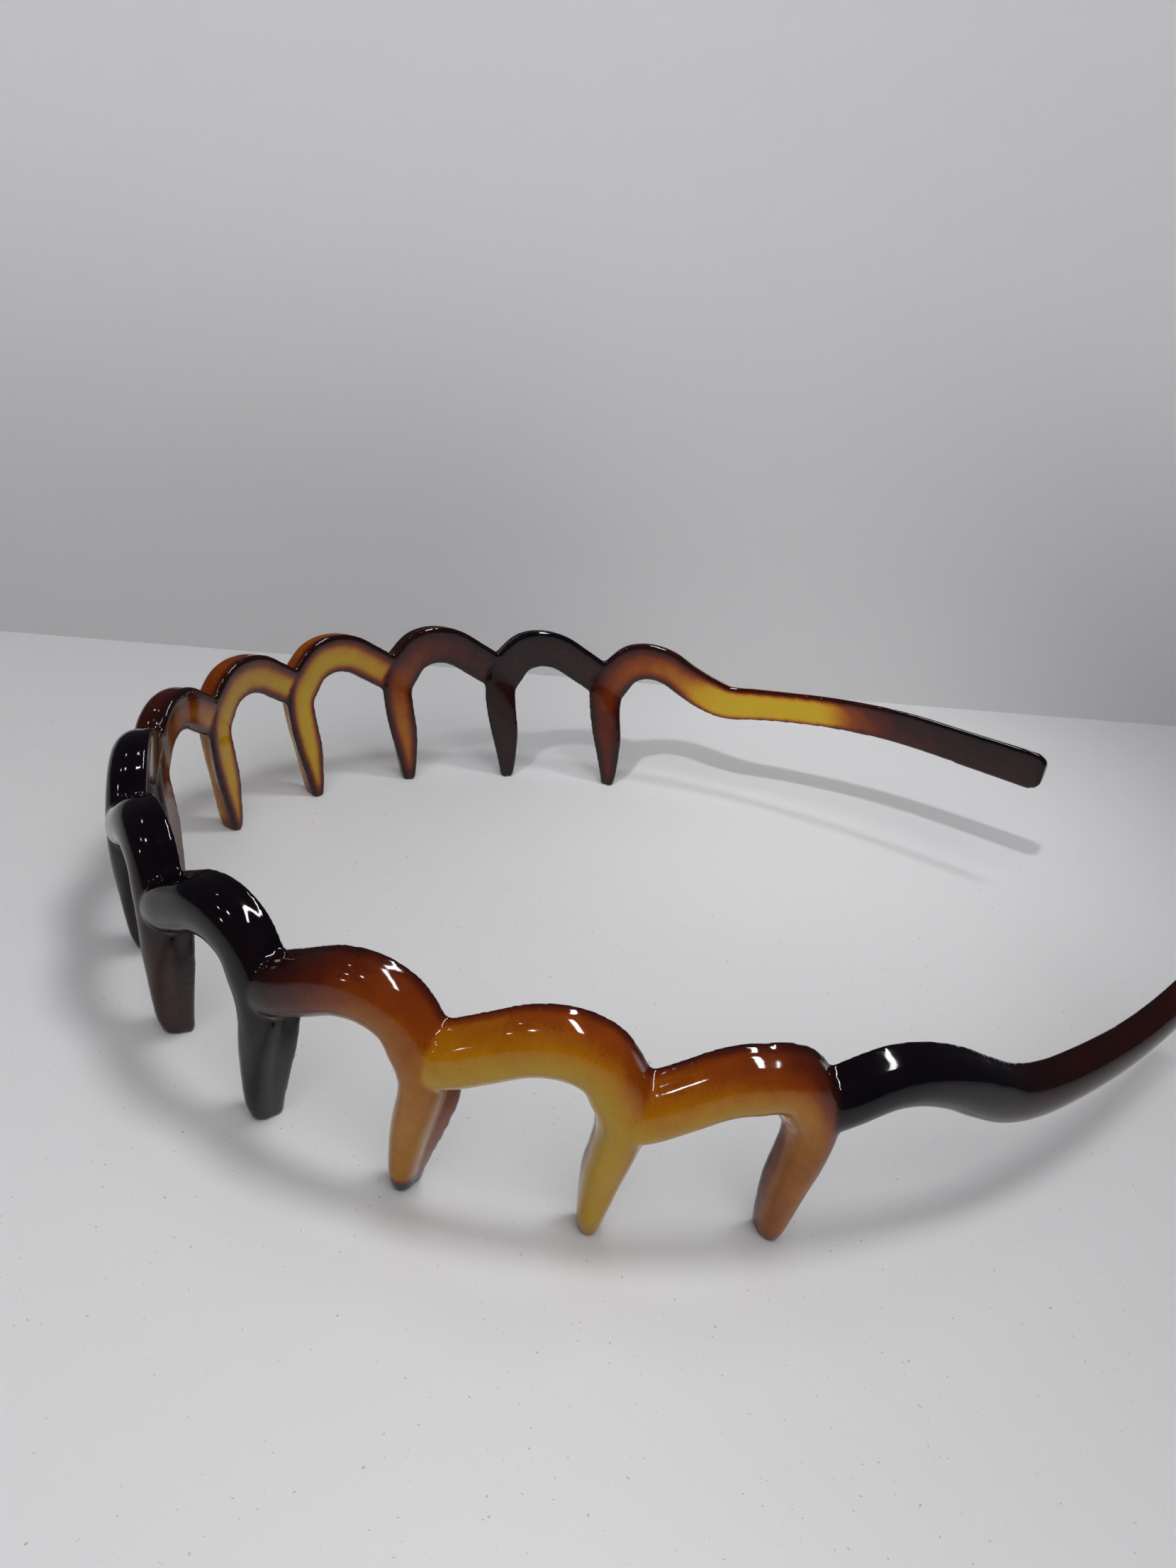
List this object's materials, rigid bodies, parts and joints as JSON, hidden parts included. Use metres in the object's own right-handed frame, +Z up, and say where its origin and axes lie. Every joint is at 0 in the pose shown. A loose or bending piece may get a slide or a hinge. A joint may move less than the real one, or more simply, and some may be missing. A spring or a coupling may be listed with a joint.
{
  "type": "toothed headband",
  "caption": "Springy plastic headband bent in a U: a scalloped row of waves that each end in a curved comb tooth, and slim plain arms with rounded ends.",
  "frame": {"origin": "flat tip of the tooth nearest the middle of the crown, on the surface that the tooth tips stand on", "axes": "+X across the head towards the arm that starts with a plain hump, +Y from the crown to the arm ends, +Z up from the tooth tips to the tops of the waves"},
  "size_m": [0.1213, 0.1446, 0.0264],
  "materials": {
    "tortoiseshell_plastic": "polished, mottled from clear amber to near-black"
  },
  "bodies": {
    "root": {"headband": "tortoiseshell_plastic"}
  },
  "joints": []
}
